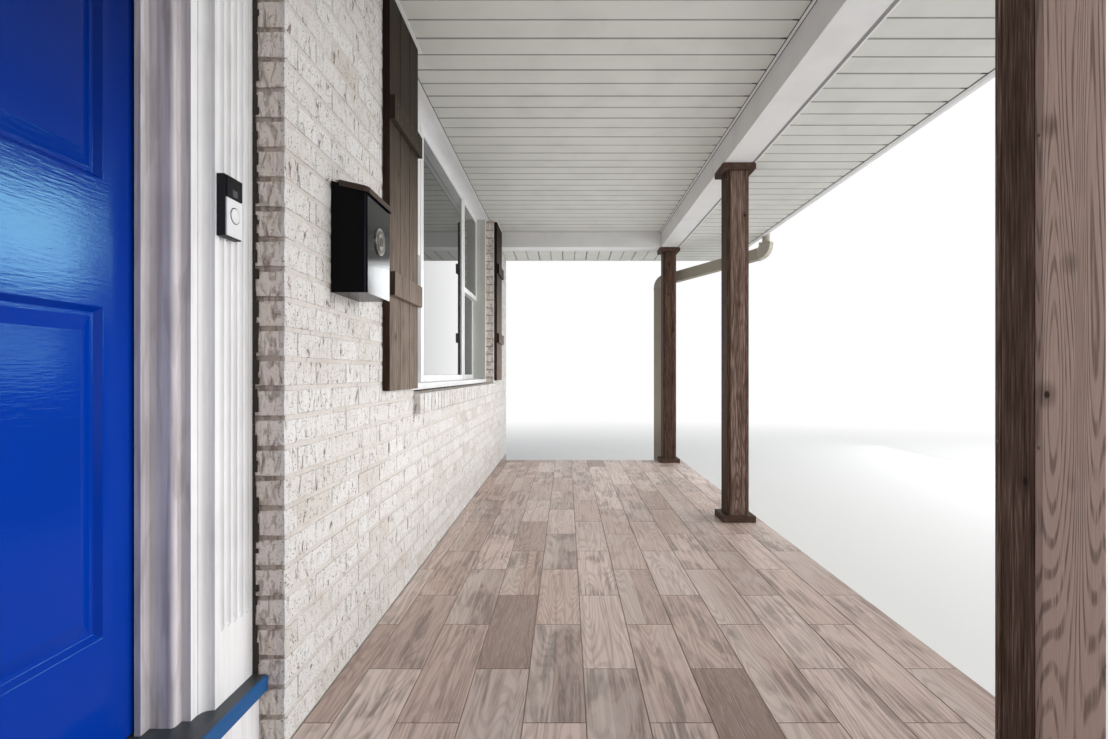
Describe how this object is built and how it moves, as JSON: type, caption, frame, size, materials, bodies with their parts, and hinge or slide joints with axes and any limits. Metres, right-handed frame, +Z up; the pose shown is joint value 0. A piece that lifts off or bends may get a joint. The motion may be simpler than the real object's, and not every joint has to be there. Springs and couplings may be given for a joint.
{
  "type": "front porch",
  "caption": "Covered front porch along a brick wall: tiled slab, boxed cedar posts, wrapped beams, hipped roof, blue panel door that opens, shuttered window and mailbox.",
  "frame": {"origin": "on the ground under the middle of the porch's overall box", "axes": "+X along the wall, to the right when facing the house; +Y into the house; +Z up"},
  "size_m": [8.29, 2.88, 3.4551],
  "materials": {
    "concrete": "broom-finished concrete",
    "floor_tile": "wood-look porcelain planks, satin",
    "brick": "whitewashed rough brick",
    "wallboard": "plain painted wall",
    "vinyl_white": "white window vinyl, satin",
    "pane": "clear insulating glass",
    "cedar": "weathered brown-stained cedar",
    "door_blue": "high-gloss strong blue paint",
    "nickel": "satin nickel",
    "trim_white": "semi-gloss white paint",
    "sill_slate": "dark sill with a blue painted nosing",
    "metal_white": "white coil-coated metal",
    "soffit_white": "white grooved soffit panel",
    "shingle": "grey-brown asphalt shingles",
    "roof_board": "plain sheathing board",
    "downspout_metal": "cream coil-coated metal",
    "bell_black": "matt black and silver housing",
    "mailbox_black": "gloss black enamel"
  },
  "bodies": {
    "root": {"porch_slab": "concrete", "floor_tiles": "floor_tile", "foundation": "concrete", "brick_left": "brick", "brick_pier": "brick", "brick_apron": "brick", "brick_right": "brick", "window_sill_bricks": "brick", "wall_left": "wallboard", "wall_middle": "wallboard", "wall_below_window": "wallboard", "wall_right": "wallboard", "wall_top": "wallboard", "window_frame": "vinyl_white", "window_sashes": "vinyl_white", "window_glass": "pane", "shutter_left": "cedar", "shutter_right": "cedar", "frame_hinge_leaves": "nickel", "door_jambs": "trim_white", "door_head": "trim_white", "door_sill": "sill_slate", "door_riser": "trim_white", "pilasters": "trim_white", "entry_head": "trim_white", "post_1": "cedar", "post_2": "cedar", "post_3": "cedar", "post_4": "cedar", "post_rings": "cedar", "front_beam": "metal_white", "end_beams": "metal_white", "porch_ceiling": "soffit_white", "front_soffit": "soffit_white", "end_soffits": "soffit_white", "front_fascia": "metal_white", "end_fascias": "metal_white", "roof_deck": "roof_board", "roof_shingles": "shingle", "gutter": "metal_white", "downspout": "downspout_metal", "doorbell": "bell_black", "mailbox_body": "mailbox_black", "mailbox_medallion": "nickel"},
    "door": {"door_leaf": "door_blue", "door_lockset": "nickel", "door_hinge_leaves": "nickel"},
    "mailbox_lid": {"mailbox_lid": "mailbox_black"}
  },
  "joints": [
    {"name": "door_swing", "type": "hinge", "parent": "root", "child": "door", "pos_m": [-1.2565, 1.43, 1.352], "axis": [0, 0, -1], "range_deg": [0, 100]},
    {"name": "mailbox_lid_hinge", "type": "hinge", "parent": "root", "child": "mailbox_lid", "pos_m": [-0.6485, 1.17, 1.60753], "axis": [-1, 0, 0], "range_deg": [0, 90]}
  ]
}
